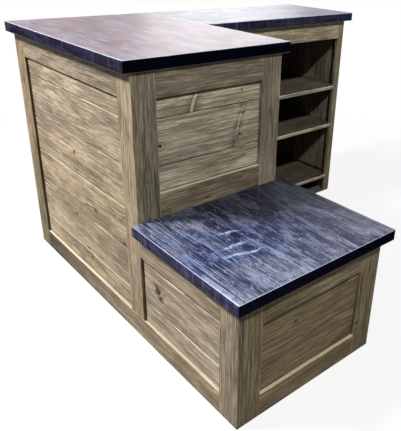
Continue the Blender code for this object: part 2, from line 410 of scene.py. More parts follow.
def grid_box(given):
    """A box of grid lines, and each point's place with two rows close to every edge."""
    half = stretched(given["Size"], 0.5)
    steps = vector("FLOOR", vector("DIVIDE", given["Size"], given["Spacing"]))
    count = shifted(steps, 2 * EDGE_ROWS + 2)
    gaps = apart(count, 1)
    box = fill("GeometryNodeMeshCube", (gaps, *split(count)))
    at = add_node(count, "GeometryNodeInputPosition").outputs[0]
    half_count = stretched(gaps, 0.5)
    rows_in = apart(half_count, vector("ABSOLUTE", at))

    # The first two rows lie within the rounded edge, and the later ones are spaced evenly
    radius = given["Edge Radius"]
    first = vector("MINIMUM", rows_in, 1)
    past_first = vector("MAXIMUM", apart(rows_in, 1), 0)
    second = vector("MINIMUM", past_first, 1)
    later = vector("MAXIMUM", apart(rows_in, EDGE_ROWS), 0)
    flat = apart(half, radius)
    step = vector("DIVIDE", flat, apart(half_count, EDGE_ROWS))
    first_in = stretched(first, times(radius, 1 - FIRST_ROW))
    second_in = stretched(second, times(radius, FIRST_ROW))
    later_in = stretched(later, step)
    inset = shifted(first_in, second_in, later_in)
    side = vector("SIGN", at)
    return box.outputs["Mesh"], stretched(side, apart(half, inset)), half


print("rows round each edge:", EDGE_ROWS)


# %% Tree for the shape
def worn_board_tree():
    given, keys = new_tree("worn_board", BOARD_INPUTS)
    mesh, placed, half = grid_box(given)
    radius = given["Edge Radius"]
    core = apart(half, stretched(given["Rounded Ways"], radius))
    inside = vector("MINIMUM", placed, core)
    inside = vector("MAXIMUM", inside, stretched(core, -1))
    outward = vector("NORMALIZE", apart(placed, inside))
    rounded = shifted(inside, stretched(outward, radius))

    # The share of an edge in each point: 0 on a flat face and 1 on an arris
    steepest = most(*split(vector("ABSOLUTE", outward)))
    edge = ease(steepest, 1.0, math.sqrt(0.5))
    start = shifted(rounded, given["Noise Start"])
    knocks = ease(noise(start, 26.0, 4.0), 0.45, 0.72)
    knocked = times(edge, knocks, given["Edge Wear"])
    waves = times(noise(start, 5.0, 2.0), given["Unevenness"])
    depth = plus(knocked, waves)
    worn = apart(rounded, stretched(outward, depth))

    moves = {"Geometry": mesh, "Position": shifted(worn, given["Middle"])}
    moved = labelled(mesh, "GeometryNodeSetPosition", moves)
    smooth = fill("GeometryNodeSetShadeSmooth", moved.outputs[:1])
    return end_tree(smooth.outputs[0]), keys


shape_tree, shape_keys = worn_board_tree()
print("worn board tree:", len(shape_tree.nodes), "nodes")

# %% [markdown]
# ## The grain that a board carries
# Grain runs along a board whichever way the board is fixed. A second tree therefore writes each
# point's place along, across and through its own board as an attribute, moved to a spot of its own
# in an imagined log, so that no two boards match. It also writes which way a point faces, how far
# it is from each face and from its panel's frame, the board's tints, the way it grows paler, which
# on the low top is painted shade and highlight, and its knots, and it ends by setting the finish.

# %% Tree for the grain
KNOT_NAMES = tuple(f"knot_{number}" for number in range(1, 7))
SPIKE_NAMES = tuple(f"spike_{number}" for number in range(1, 5))
BOARD_WAYS = ("Along", "Across", "Through")
GRAIN_INPUTS = {
    **dict.fromkeys(("Size", "Middle", "Rounded Ways", *BOARD_WAYS, "Log Start"), VECTOR),
    **dict.fromkeys(("Tint", "Warmth", "Edge Tone"), NUMBER),
    **dict.fromkeys(("Paler Way", "Panel Size", "Panel Middle", *KNOT_NAMES, *SPIKE_NAMES), VECTOR),
    "Finish": "NodeSocketMaterial",
}
POINT_VECTORS = {"data_type": "FLOAT_VECTOR", "domain": "POINT"}
RAIL_SHADE_SHARE = 0.6


def by_ways(given, value):
    """A vector counted along, across and through the board."""
    return join(*(dot(value, given[way]) for way in BOARD_WAYS))


def panel_border(given, at):
    """How far a plank's point lies inside the frame round its panel, nearer under the top rail where the
    painted shade is deeper.
    """
    half = stretched(given["Panel Size"], 0.5)
    border = least(*gaps_inside(at, given["Panel Middle"], half))
    # Under the top rail the painted shade falls in a deeper band, so a point there counts as nearer
    height = split(apart(at, given["Panel Middle"]))[2]
    under_rail = minus(split(half)[2], height)
    return least(border, times(under_rail, RAIL_SHADE_SHARE))


def board_grain_tree():
    given, keys = new_tree("board_grain", GRAIN_INPUTS)
    geometry = given["Geometry"]
    at = add_node(geometry, "GeometryNodeInputPosition").outputs[0]
    normal = add_node(geometry, "GeometryNodeInputNormal").outputs[0]
    local = apart(at, given["Middle"])

    # How far a point lies inside the two faces of each way, and beyond reach where ends are hidden
    half = stretched(given["Size"], 0.5)
    inside = apart(half, vector("ABSOLUTE", local))
    inside = shifted(inside, apart(1, given["Rounded Ways"]))
    # How far a point lies towards the board's paler side; on the low top this paling is painted shade and
    # painted highlight
    wear = dot(vector("DIVIDE", local, given["Size"]), given["Paler Way"])
    kept = {
        "grain": shifted(by_ways(given, local), given["Log Start"]),
        "facing": vector("ABSOLUTE", by_ways(given, normal)),
        "inset": by_ways(given, inside),
        "board": join(given["Tint"], given["Warmth"], given["Edge Tone"]),
        "panel": join(panel_border(given, at), split(normal)[2], wear),
        **{name: given[name] for name in (*KNOT_NAMES, *SPIKE_NAMES)},
    }
    for name, value in kept.items():
        values = {"Geometry": geometry, "Name": name, "Value": value}
        stored = labelled(geometry, "GeometryNodeStoreNamedAttribute", values, **POINT_VECTORS)
        geometry = stored.outputs[0]
    finish = {"Geometry": geometry, "Material": given["Finish"]}
    dressed = labelled(geometry, "GeometryNodeSetMaterial", finish)
    return end_tree(dressed.outputs[0]), keys


grain_tree, grain_keys = board_grain_tree()
print("grain tree:", len(grain_tree.nodes), "nodes")

# %% [markdown]
# ## Rings and knots
# Timber is a stack of growth rings: pale spring wood with a thin dark line of summer wood. The
# rings are cylinders about a pith that lies somewhere below the board, so the distance from that
# line gives straight grain at the sides, flames in the middle and arcs on the end grain, all at
# once. Knots push the rings aside. A knot is an oval, or a long spike where the saw ran along it.

# %% What a board tells its finish
BOARD_LABELS = {
    "board": ("tint", "warmth", "edge_tone"),
    "facing": ("end_grain", "edge_grain", "face_grain"),
    "panel": ("border", "upward", "wear"),
    "inset": ("from_end", "from_edge", "from_face"),
}


def new_finish(name):
    material = bpy.data.materials.new(name)
    material.use_nodes = True
    return material, material.node_tree.nodes["Principled BSDF"]


def attribute(beside, name):
    return add_node(beside, "ShaderNodeAttribute", attribute_name=name).outputs["Vector"]


def read_board(shader):
    """What the grain tree has written on a board, as sockets with names."""
    wood = SimpleNamespace(grain=attribute(shader, "grain"))
    for name, labels in BOARD_LABELS.items():
        vars(wood).update(zip(labels, split(attribute(shader, name))))
    # The nearest arris is as far off as the middle one of the three insets
    lower = least(wood.from_end, wood.from_edge)
    higher = most(wood.from_end, wood.from_edge)
    wood.arris = most(lower, least(higher, wood.from_face))
    return wood


def tone_board(shader, colour, depth, saturation):
    """Gives each board its own depth and warmth of stain, with the painted light and shade that some boards'
    tones carry.
    """
    values = {"Color": colour, "Value": depth, "Saturation": saturation}
    toned = labelled(shader, "ShaderNodeHueSaturation", values)
    feed(shader.inputs["Base Color"], toned.outputs[0])


def raise_grain(shader, height, strength, distance):
    values = {"Strength": strength, "Distance": distance, "Height": height}
    bump = labelled(shader, "ShaderNodeBump", values)
    feed(shader.inputs["Normal"], bump.outputs[0])


print("knots on a board: up to", len(KNOT_NAMES))

# %% Rings, knots and spikes
SPIKE_LEANS = (-0.30, -0.05, -0.25, 0.0)
KNOT_RAGGEDNESS = 0.7
RING_DRIFT = 0.030
RING_WANDER = 0.004
KNOT_PUSH = 0.010


def from_marks(grain, names):
    """How far a point is along and across from each of a board's marks, and the marks' sizes."""
    for name in names:
        mark = attribute(grain, name)
        along, across, _ = split(apart(grain, mark))
        yield along, across, split(mark)[2]


def knot_reach(grain, stretch):
    """How deep a point lies in the nearest knot: 1 at its middle, 0 at its rim and below beyond."""
    depths = []
    for along, across, radius in from_marks(grain, KNOT_NAMES):
        distance = length_of(join(over(along, stretch), across, 0.0))
        depths.append(minus(1.0, over(distance, radius)))
    ragged = minus(noise(grain, 130.0, 2.0), 0.5)
    return plus(most(*depths), times(ragged, KNOT_RAGGEDNESS))


def spike_distance(grain, length, wobble):
    """How far a point is from the nearest spike knot, in half widths of the spike's band."""
    bent = times(minus(noise(grain, 40.0, 3.0, 0.6), 0.5), wobble)
    distances = []
    for lean, (along, across, half_width) in zip(SPIKE_LEANS, from_marks(grain, SPIKE_NAMES)):
        leaning = plus(along, times(across, lean), bent)
        flat = join(leaning, over(across, length), 0.0)
        distances.append(over(length_of(flat), half_width))
    return least(*distances)


def ring_radius(grain, swell):
    """Distance from the pith, unsteady as in a grown tree and pushed aside by knots."""
    _, across, through = split(grain)
    return plus(
        length_of(join(0.0, across, through)),
        times(drawn_noise(grain, 1.4, 7.0, 2.0), RING_DRIFT),
        times(drawn_noise(grain, 6.0, 40.0, 2.0), RING_WANDER),
        times(swell, KNOT_PUSH),
    )


def ring_lines(radius, ring_width):
    """0 in spring wood, rising to 1 at each summer line."""
    turn = scalar("FRACT", over(radius, ring_width))
    return times(ease(turn, 0.15, 0.88), ease(turn, 0.90, 1.0, 1.0, 0.0))


print("rings wander by", RING_WANDER, "m")

# %% [markdown]
# ## Weathered pine
# The frames, planks and shelves are soft pine under a matt grey-brown stain. A photograph of pine
# laid on each board would repeat and would stop at the edges, so the finish is built up as a
# painter would: pale wood first, then streaks, rings, grey weathering and fine grain lines, knots
# and cracks, and last the wear of edges, the grime in joints, a painted highlight on upward ledges
# and painted shade on downward edges and along panel borders. Every coat is a share and a paint.

# %% Figure of the pine
RING_WIDTH = 0.0080
BOARD_SHIFT = 90.0
CRACK_WIDTH = 0.012


def add_pine_figure(wood):
    """Adds the patterns that pine is painted with, as named numbers."""
    grain = wood.grain
    swell = ease(wood.reach, -2.5, 0.6)
    radius = ring_radius(grain, swell)
    own_radius = join(radius, times(wood.tint, BOARD_SHIFT), 0.0)
    clouds = drawn_noise(grain, 3.6, 9.0, 3.0, 0.55, 0.3)

    # Thin drying cracks follow the grain
    cracks = drawn_noise(grain, 1.8, 85.0, 2.0, 0.5)
    off_crack = scalar("ABSOLUTE", minus(cracks, 0.5))
    thin = ease(off_crack, 0.0, CRACK_WIDTH, 1.0, 0.0)
    vars(wood).update(
        swell=swell,
        rings=ring_lines(radius, RING_WIDTH),
        bands=noise(own_radius, 30.0, 2.0),
        streaks=drawn_noise(grain, 3.0, 36.0, 7.0, 0.72, 0.5),
        fibres=drawn_noise(grain, 24.0, 420.0, 3.0, 0.6),
        clouds=clouds,
        smudges=drawn_noise(grain, 7.0, 32.0, 5.0, 0.66, 0.9),
        lines=drawn_noise(grain, 8.0, 260.0, 3.0, 0.62),
        speckle=drawn_noise(grain, 110.0, 190.0, 3.0, 0.65),
        blush=drawn_noise(grain, 2.4, 6.0, 2.0),
        cracked=times(thin, ease(clouds, 0.52, 0.64)),
    )


print("pine rings", RING_WIDTH, "m apart")

# %% Wood and knots of the pine
ROSY_SHARES = (0.84, 0.78, 0.86)
GRIME_AND_SHADE = (0.034, 0.021, 0.010)
PINE_SPIKE_LENGTH = 14.0
PINE_SPIKE_WOBBLE = 0.016


def scaled(colour, share):
    return tuple(share * part for part in colour)


def sawn_pine(wood, paints):
    """Bare wood with its streaks, rings, greyed patches and grain lines."""
    pale, brown, grey = paints
    rosy = tuple(share * part for share, part in zip(ROSY_SHARES, pale))
    ring_share = times(wood.rings, ease(wood.swell, 0.0, 1.0, 0.50, 0.80))
    # Greyed patches gather in some stretches of a board and leave others calm
    busy = ease(wood.blush, 0.60, 0.42, 0.35, 1.25)
    greyed = times(ease(wood.clouds, 0.50, 0.60, 0.0, 0.64), busy)
    smudged = times(ease(wood.smudges, 0.57, 0.68, 0.0, 0.58), busy)
    # A deeper stain brings the grain lines out more
    relief = ease(wood.tint, 0.10, -0.40, 1.0, 1.45)
    dark_lines = times(ease(wood.lines, 0.36, 0.50, 0.55, 0.0), relief)
    pale_lines = times(ease(wood.lines, 0.51, 0.65, 0.0, 0.45), relief)
    return coats(
        pale,
        (wood.streaks, 0.37, 0.63, 0.95, brown),
        (wood.blush, 0.45, 0.65, 0.40, rosy),
        (wood.bands, 0.48, 0.60, 0.55, scaled(grey, 0.80)),
        (wood.bands, 0.44, 0.34, 0.50, scaled(pale, 1.15)),
        (ring_share, scaled(brown, 0.44)),
        (greyed, scaled(grey, 0.84)),
        (wood.clouds, 0.46, 0.36, 0.55, scaled(pale, 1.08)),
        (smudged, scaled(grey, 0.40)),
        (wood.smudges, 0.44, 0.30, 0.45, scaled(pale, 1.25)),
        (dark_lines, scaled(brown, 0.36)),
        (pale_lines, scaled(pale, 1.35)),
        (ease(wood.fibres, 0.33, 0.58, 0.55, 0.0), scaled(brown, 0.3)),
    )


def knotty_pine(colour, wood, paints):
    """Near-black ragged knots with a dark tail along the grain, and spikes sawn lengthwise."""
    pale, brown, grey = paints
    tail = times(ease(wood.reach, -1.8, -0.1), ease(wood.streaks, 0.42, 0.62), 0.65)
    # A spike is a pale band across the board with dark flanks and scars
    off = spike_distance(wood.grain, PINE_SPIKE_LENGTH, PINE_SPIKE_WOBBLE)
    flank = times(ease(off, 7.0, 1.0), ease(wood.streaks, 0.36, 0.56), 0.80)
    beside = times(ease(off, 2.2, 1.4), ease(off, 0.7, 1.2))
    scar = times(beside, ease(wood.speckle, 0.56, 0.46), 0.75)
    band = times(ease(off, 1.5, 0.5), ease(wood.speckle, 0.36, 0.52), 0.58)
    return coats(
        colour,
        (tail, scaled(grey, 0.45)),
        (times(wood.heart, 0.97), GRIME_AND_SHADE),
        (times(ease(wood.reach, 0.30, 0.60), 0.06), scaled(brown, 0.60)),
        (flank, scaled(grey, 0.40)),
        (scar, GRIME_AND_SHADE),
        (band, scaled(pale, 1.25)),
    )


print("grime:", GRIME_AND_SHADE)

# %% Wear, painted highlight and painted shade of the pine
LEDGE_HIGHLIGHT = (0.71, 0.61, 0.50)
RUBBED_WIDTH = (0.0030, 0.0004)
SHADE_BORDER_WIDTH = 0.008


def worn_pine(colour, wood, edge_grime_and_shade, paints):
    """End grain drinks more stain, arrises are rubbed paler and joints hold grime. Upward ledges get a
    painted highlight, and downward edges and panel borders a painted shade.
    """
    pale, brown, _ = paints
    rubbed = times(ease(wood.arris, *RUBBED_WIDTH), ease(wood.clouds, 0.56, 0.42), 0.4)
    packed = times(ease(wood.edge_grain, 0.45, 0.75), ease(wood.clouds, 0.45, 0.55), edge_grime_and_shade)
    downward = ease(wood.upward, 0.15, -0.10)
    underside_shade = times(ease(wood.edge_grain, 0.20, 0.60), downward, edge_grime_and_shade)
    return coats(
        colour,
        (times(wood.cracked, 0.55), GRIME_AND_SHADE),
        (wood.end_grain, 0.6, 0.95, 0.35, scaled(brown, 0.45)),
        (rubbed, scaled(pale, 1.4)),
        # Upward ledges get a painted highlight, as if lit from above
        (times(wood.ledge, 0.70), LEDGE_HIGHLIGHT),
        (packed, GRIME_AND_SHADE),
        # Downward edges, and the panel's border next to its frame, get a painted shade
        (underside_shade, GRIME_AND_SHADE),
        (wood.border, SHADE_BORDER_WIDTH, 0.0, 0.82, GRIME_AND_SHADE),
    )


print("shaded borders", SHADE_BORDER_WIDTH, "m wide")

# %% Pine finishes
KNOT_STRETCH = 1.35
PINE_SHINE = 0.15
# Pale, brown and grey paint of each pine
PINE_PAINTS = {
    "weathered_trim": ((0.580, 0.478, 0.342), (0.327, 0.254, 0.162), (0.276, 0.210, 0.147)),
    "weathered_plank": ((0.686, 0.562, 0.402), (0.388, 0.299, 0.186), (0.312, 0.232, 0.160)),
    # The carcass and shelf paints are darker in part as painted shade of the return's dim inside
    "carcass_pine": ((0.275, 0.227, 0.168), (0.125, 0.099, 0.069), (0.110, 0.096, 0.078)),
    "shelf_pine": ((0.205, 0.170, 0.127), (0.110, 0.086, 0.060), (0.102, 0.091, 0.075)),
}
ROUGHNESS = {"weathered_trim": 0.55, "weathered_plank": 0.58, "carcass_pine": 0.68, "shelf_pine": 0.62}
EDGE_GRIME_AND_SHADE = {"weathered_plank": 0.94}


def pine_finish(name, paints):
    material, shader = new_finish(name)
    wood = read_board(shader)
    wood.reach = knot_reach(wood.grain, KNOT_STRETCH)
    wood.heart = ease(wood.reach, -0.05, 0.25)
    # The upward edges of ledges, which take a painted highlight
    wood.ledge = times(ease(wood.edge_grain, 0.22, 0.55), ease(wood.upward, 0.15, 0.50))
    add_pine_figure(wood)
    colour = sawn_pine(wood, paints)
    colour = knotty_pine(colour, wood, paints)
    colour = worn_pine(colour, wood, EDGE_GRIME_AND_SHADE.get(name, 0.0), paints)

    # Narrow edges can be paler or darker than faces, on some boards as painted light and on others as
    # painted shade, and the paling across a board leaves the highlighted ledges alone
    edge_depth = times(ease(wood.edge_grain, 0.35, 0.80), wood.edge_tone)
    face_paling = times(wood.wear, minus(1.0, wood.ledge))
    depth = plus(wood.tint, edge_depth, face_paling, 1.0)
    tone_board(shader, colour, depth, plus(wood.warmth, 1.0))

    grained = plus(wood.rings, wood.fibres)
    rough = ease(grained, 0.3, 1.5, ROUGHNESS[name] + 0.16, ROUGHNESS[name] - 0.04)
    feed_all(shader, {"Roughness": rough, "Specular IOR Level": PINE_SHINE})
    height = plus(times(wood.fibres, 0.35), times(wood.rings, 0.35))
    height = minus(height, times(wood.cracked, 0.9))
    height = plus(height, times(wood.heart, 0.3))
    raise_grain(shader, height, strength=0.45, distance=0.0012)
    return material


finishes = {slot: pine_finish(slot, paints) for slot, paints in PINE_PAINTS.items()}
print("pine finishes:", len(finishes["weathered_plank"].node_tree.nodes), "nodes each")

# %% [markdown]
# ## Blue-black glued tops
# The tops are glued up from narrow staves whose ends are staggered, then stained blue-black and
# coated. Separate staves would be hundreds of pieces for joints thinner than a hair, so the finish
# cuts the board into staves by rounding its grain coordinates, gives each stave its own spot in
# the log and its own depth of stain, and rubs the stain away to grey where the grain stands proud.

# %% Staves
STAVE_WIDTH = 0.050
STAVE_LENGTH = 0.34
STAVE_JOINT = 0.0010


def stave_cells(grain, width, length):
    """A point's place counted in staves across and along, and three random numbers for its stave."""
    along, across, _ = split(grain)
    rows = over(across, width)
    row = scalar("FLOOR", rows)
    shift = labelled(row, "ShaderNodeTexWhiteNoise", {"W": row}, noise_dimensions="1D")
    lengths = plus(over(along, length), shift.outputs["Value"])
    cell = join(row, scalar("FLOOR", lengths), 0.0)
    dice = labelled(row, "ShaderNodeTexWhiteNoise", {"Vector": cell}, noise_dimensions="2D")
    return rows, lengths, dice.outputs["Color"]


def stave_joints(rows, lengths):
    """1 in the glue lines round each stave and 0 elsewhere."""
    side_gap = times(scalar("PINGPONG", rows, 0.5), STAVE_WIDTH)
    end_gap = times(scalar("PINGPONG", lengths, 0.5), STAVE_LENGTH)
    gap = least(side_gap, end_gap)
    return ease(gap, 0.2 * STAVE_JOINT, STAVE_JOINT, 1.0, 0.0)


print("staves", STAVE_WIDTH, "m wide")

# %% Figure of the tops
PATCH_WIDTH = 0.025
PATCH_LENGTH = 0.075
STAVE_MIDDLE = (0.0, 0.5, 0.1)
STAVE_SHIFT = (9.0, 0.12, -0.10)
DRIP_WAVES = (70.0, 70.0, 9.0)
TOP_RING_WIDTH = 0.0070
KNOT_CELLS = (10.0, 26.0, 26.0)


def add_top_figure(wood):
    """Adds the patterns that a top is stained with. Most of them are cut up by the staves."""
    grain = wood.grain
    rows, lengths, drawn = stave_cells(grain, STAVE_WIDTH, STAVE_LENGTH)
    stave = split(drawn)[0]
    shift = stretched(apart(drawn, STAVE_MIDDLE), STAVE_SHIFT)
    own = shifted(grain, shift)
    patch = split(stave_cells(grain, PATCH_WIDTH, PATCH_LENGTH)[2])[0]
    brushed = plus(
        drawn_noise(own, 7.0, 230.0, 3.0, 0.62, 0.2),
        ease(stave, 0.0, 1.0, -0.03, 0.03),
        ease(patch, 0.0, 1.0, -0.05, 0.05),
    )
    radius = ring_radius(own, ease(wood.reach, -3.0, 0.6))
    vars(wood).update(
        stave=stave,
        joint=stave_joints(rows, lengths),
        rings=ring_lines(radius, TOP_RING_WIDTH),
        brushed=brushed,
        drips=noise(stretched(grain, DRIP_WAVES), 1.0, 3.0, 0.6),
        streaks=drawn_noise(own, 6.0, 60.0, 4.0, 0.65, 0.4),
        clouds=drawn_noise(grain, 5.0, 8.0, 3.0, 0.55, 0.4),
        mottle=drawn_noise(grain, 40.0, 75.0, 4.0, 0.65, 1.2),
    )


def pin_knots(grain):
    """Dark ragged ovals of small knots, in about a third of the cells of a pattern."""
    bent = stretched(noise(grain, 34.0, 3.0, 0.6), 0.7)
    place = shifted(stretched(grain, KNOT_CELLS), bent)
    values = {"Vector": place, "Scale": 1.0}
    cells = labelled(grain, "ShaderNodeTexVoronoi", values, voronoi_dimensions="2D")
    drawn, grown, _ = split(cells.outputs["Color"])
    size = ease(grown, 0.0, 1.0, 0.10, 0.30)
    beyond = minus(cells.outputs["Distance"], size)
    return times(ease(beyond, 0.12, -0.10), ease(drawn, 0.62, 0.68))


print("rubbed patches", PATCH_LENGTH, "m long")

# %% Stain on the upper face
DEEP_STAIN = (0.0050, 0.0065, 0.028)
OPEN_STAIN = (0.050, 0.057, 0.108)
KNOT_STAIN = (0.0090, 0.0115, 0.062)
RUBBED_STAIN = (0.178, 0.193, 0.272)
BARE_STAIN = (0.440, 0.475, 0.570)
STROKE_STAIN = (0.40, 0.45, 0.64)
BLUE_SHIFT = (0.74, 0.86, 1.06)
RED_STAIN = (0.210, 0.085, 0.080)
TOP_SPIKE_LENGTH = 6.5
TOP_SPIKE_WOBBLE = 0.026
HANDLED_WIDTH = 0.12


def rubbed_top(wood):
    """Stain that lies deep in the grain and is rubbed to grey where the grain stands proud."""
    pale_mottle = times(ease(wood.mottle, 0.56, 0.72, 0.0, 0.75), wood.blue_share)
    dark_mottle = times(ease(wood.mottle, 0.48, 0.34, 0.0, 0.85), wood.blue_share)
    clouded = times(ease(wood.clouds, 0.30, 0.62, 0.55, 1.0), wood.red_share)
    reddened = times(clouded, ease(wood.streaks, 0.36, 0.62, 0.40, 1.35), 0.75)
    return coats(
        DEEP_STAIN,
        (ease(wood.stave, 0.0, 1.0, 0.30, 1.0), OPEN_STAIN),
        (times(wood.rings, 0.35), DEEP_STAIN),
        (wood.clouds, 0.46, 0.62, 0.42, RUBBED_STAIN),
        (wood.clouds, 0.48, 0.36, 0.75, DEEP_STAIN),
        (wood.streaks, 0.52, 0.66, 0.50, RUBBED_STAIN),
        (wood.streaks, 0.48, 0.36, 0.55, DEEP_STAIN),
        (wood.brushed, 0.51, 0.65, 0.72, scaled(RUBBED_STAIN, 1.25)),
        (wood.brushed, 0.49, 0.37, 0.75, DEEP_STAIN),
        (pale_mottle, scaled(RUBBED_STAIN, 1.4)),
        (dark_mottle, DEEP_STAIN),
        (reddened, RED_STAIN),
    )


def marked_top(colour, wood):
    """Long edges rubbed by hands and goods, dark knots, and bare strokes where spikes were sawn."""
    by_edge = ease(wood.from_edge, HANDLED_WIDTH, 0.0)
    handled = times(by_edge, ease(wood.brushed, 0.40, 0.58), 0.32)
    ovals = times(pin_knots(wood.grain), 0.75, wood.blue_share)
    colour = coats(colour, (handled, scaled(RUBBED_STAIN, 1.3)), (ovals, KNOT_STAIN))

    # The grain round a spike is bluer
    off = spike_distance(wood.grain, TOP_SPIKE_LENGTH, TOP_SPIKE_WOBBLE)
    colour = blend(ease(off, 16.0, 4.0), colour, BLUE_SHIFT, "MULTIPLY")
    rim = times(ease(wood.reach, -0.9, -0.35), ease(wood.mottle, 0.48, 0.60))
    bare = times(ease(off, 2.4, 0.3), ease(wood.mottle, 0.30, 0.52), 0.68)
    return coats(
        colour,
        (times(rim, wood.blue_share, 0.40), scaled(BARE_STAIN, 0.60)),
        (wood.reach, -0.45, 0.10, 0.85, KNOT_STAIN),
        (bare, STROKE_STAIN),
        (times(wood.joint, 0.45), DEEP_STAIN),
    )


print("bare strokes:", STROKE_STAIN)

# %% Stained finish
SIDE_STAIN = (0.026, 0.026, 0.056)
END_STAIN = (0.0024, 0.0022, 0.0080)
BARE_GLINT_ARRIS = 0.0012
BLUE_GLINT_ARRIS = 0.0030
RED_GLINT_ARRIS = 0.0080
TOP_KNOT_STRETCH = 1.2
COAT_ROUGHNESS = 0.32


def stained_sides(colour, wood):
    """The sides keep their full stain, the end grain drinks the most, and the arrises are pale, partly bare
    wood and partly a painted highlight.
    """
    side = coats(
        scaled(SIDE_STAIN, 0.55),
        (wood.streaks, 0.34, 0.68, 1.0, scaled(SIDE_STAIN, 1.6)),
        (wood.drips, 0.52, 0.68, 0.7, scaled(SIDE_STAIN, 2.8)),
        (wood.drips, 0.48, 0.32, 0.7, scaled(SIDE_STAIN, 0.4)),
    )
    # The pale arris band is partly bare wood and partly a painted highlight of the lamps' glint on the
    # rounded edge, widest on the red tall top
    arris_width = ease(wood.red_share, 0.0, 0.5, BLUE_GLINT_ARRIS, RED_GLINT_ARRIS)
    bare_glint_arris = ease(wood.arris, arris_width, BARE_GLINT_ARRIS)
    worn = times(bare_glint_arris, ease(wood.face_grain, 0.5, 0.8), 0.8)
    return coats(
        colour,
        (times(wood.on_side, 0.94), side),
        (wood.end_grain, 0.5, 0.95, 0.95, END_STAIN),
        (worn, BARE_STAIN),
    )


def stained_top(name):
    material, shader = new_finish(name)
    wood = read_board(shader)
    wood.red_share = wood.warmth
    wood.blue_share = ease(wood.red_share, 0.0, 0.5, 1.0, 0.15)
    wood.on_side = ease(wood.face_grain, 0.85, 0.35)
    wood.reach = knot_reach(wood.grain, TOP_KNOT_STRETCH)
    add_top_figure(wood)
    colour = stained_sides(marked_top(rubbed_top(wood), wood), wood)
    # The low top's paling is painted shade by the tall block and a painted highlight at its front corner
    depth = plus(wood.tint, times(wood.on_side, wood.edge_tone), wood.wear, 1.0)
    tone_board(shader, colour, depth, 1.0)

    # The clear coat was rubbed up on the upper faces, most on the tall tops
    polish = times(ease(wood.face_grain, 0.35, 0.85), ease(wood.red_share, 0.0, 0.2, 0.5, 1.0))
    feed_all(shader, {
        "Roughness": ease(wood.streaks, 0.3, 0.75, 0.36, 0.46),
        "Specular IOR Level": times(polish, 0.50),
        "Coat Weight": times(polish, 0.20),
        "Coat Roughness": COAT_ROUGHNESS,
    })
    height = plus(times(wood.brushed, 0.3), times(wood.rings, 0.2))
    height = minus(height, wood.joint)
    raise_grain(shader, height, strength=0.30, distance=0.0006)
    return material


finishes["navy_stain"] = stained_top("navy_stain")
print("finishes:", ", ".join(finishes))

# %% [markdown]
# ## Growing the boards
# Each node of the frame becomes one board: its box gives the size, its longest side the grain and
# its slot the finish. A shelf is notched round its stiles and housed in its sheets, so those
# boards are also cut by their neighbours' boxes. Some boards have knots that show in the
# photograph, given here by how far along and across the board they lie, and others draw theirs.

# %% Which boards are which
# Edge radius and spacing of grid lines, by slot
BOARD_GRIDS = {
    "navy_stain": (0.0030, 0.010),
    "weathered_trim": (0.0009, 0.009),
    "weathered_plank": (0.0030, 0.010),
    "carcass_pine": (0.0008, 0.020),
    "shelf_pine": (0.0016, 0.014),
}
GRAIN_ALONG_X = ("low_top", "main_top")
AXES = Matrix.Identity(3)


def grain_ways(node, size):
    """Unit vectors along, across and through a board, from its longest side to its shortest."""
    order = sorted(range(3), key=lambda axis: -size[axis])
    if node in GRAIN_ALONG_X:
        order = [0, 1, 2]
    return [AXES[axis].copy() for axis in order]


print("slots:", ", ".join(BOARD_GRIDS))


# %% Tones of single boards
def by_group(groups):
    """A table by node, from one where boards are grouped by the start of their names."""
    return {f"{group}_{end}": value for group, ends in groups.items() for end, value in ends.items()}


# Depth of stain on boards that stand out in the photograph, darker below nought. The darker near low boards
# and near tall stiles are painted shade of the near side, and the pale wing apron and end sheet painted
# light
STAIN_AND_LIGHT_TINTS = by_group({
    "near_tall": {"left_stile": -0.31, "right_stile": -0.16, "top_rail": -0.06, "bottom_rail": -0.08},
    "near_tall_plank": {1: 0.28, 2: 0.14, 3: 0.32},
    "near_low": {"left_stile": -0.21, "right_stile": -0.33, "top_rail": -0.30, "bottom_rail": -0.22},
    "near_low_plank": {1: -0.42, 2: -0.40, 3: -0.42},
    "front": {"mid_stile": 0.0, "near_stile": -0.13, "far_stile": -0.24, "bottom_rail": -0.25},
    "front_tall": {"top_rail": -0.10},
    "front_low_plank": {1: 0.14, 2: 0.10, 3: 0.05},
    "wing": {"apron": 0.68, "right_stile": 0.04, "end_sheet": 0.66},
    "main": {"top": 0.0}, "return": {"top": 0.0}, "low": {"top": -0.05},
})
# How warm a board's stain is, and on a top the share of red in it
WARMTHS = by_group({
    "main": {"top": 0.70}, "return": {"top": 0.20}, "low": {"top": 0.0},
    "near_tall_plank": {1: -0.12, 2: -0.12, 3: -0.08},
    "front_low_plank": {1: -0.16, 2: -0.14},
    "front": {"far_stile": 0.20, "near_stile": -0.10},
    "near_low": {"left_stile": 0.23, "right_stile": 0.27, "top_rail": 0.23, "bottom_rail": 0.39},
    "near_low_plank": {1: 0.31, 2: 0.31, 3: 0.29},
})
# How much paler or darker a board's narrow edges are than its faces
# The front far and mid stiles' dark edges are painted shade in the panel recesses, and the near low right
# stile's and bottom rail's pale edges are painted light
EDGE_TONES = by_group({
    "front": {"far_stile": -0.35, "mid_stile": -0.22, "near_stile": -0.26},
    "main": {"top": -0.34}, "return": {"top": 0.25}, "low": {"top": 0.30},
    "near_tall_plank": dict.fromkeys((1, 2, 3), -0.72),
    "near_low_plank": dict.fromkeys((1, 2, 3), -0.30),
    "near_low": {"bottom_rail": 0.45, "right_stile": 0.90},
})
# The trim's and the shelves' paler edges are partly painted light, brightest on the shelf fronts against
# their shaded tops
SLOT_EDGE_TONES = {"weathered_trim": 0.20, "shelf_pine": 2.9}
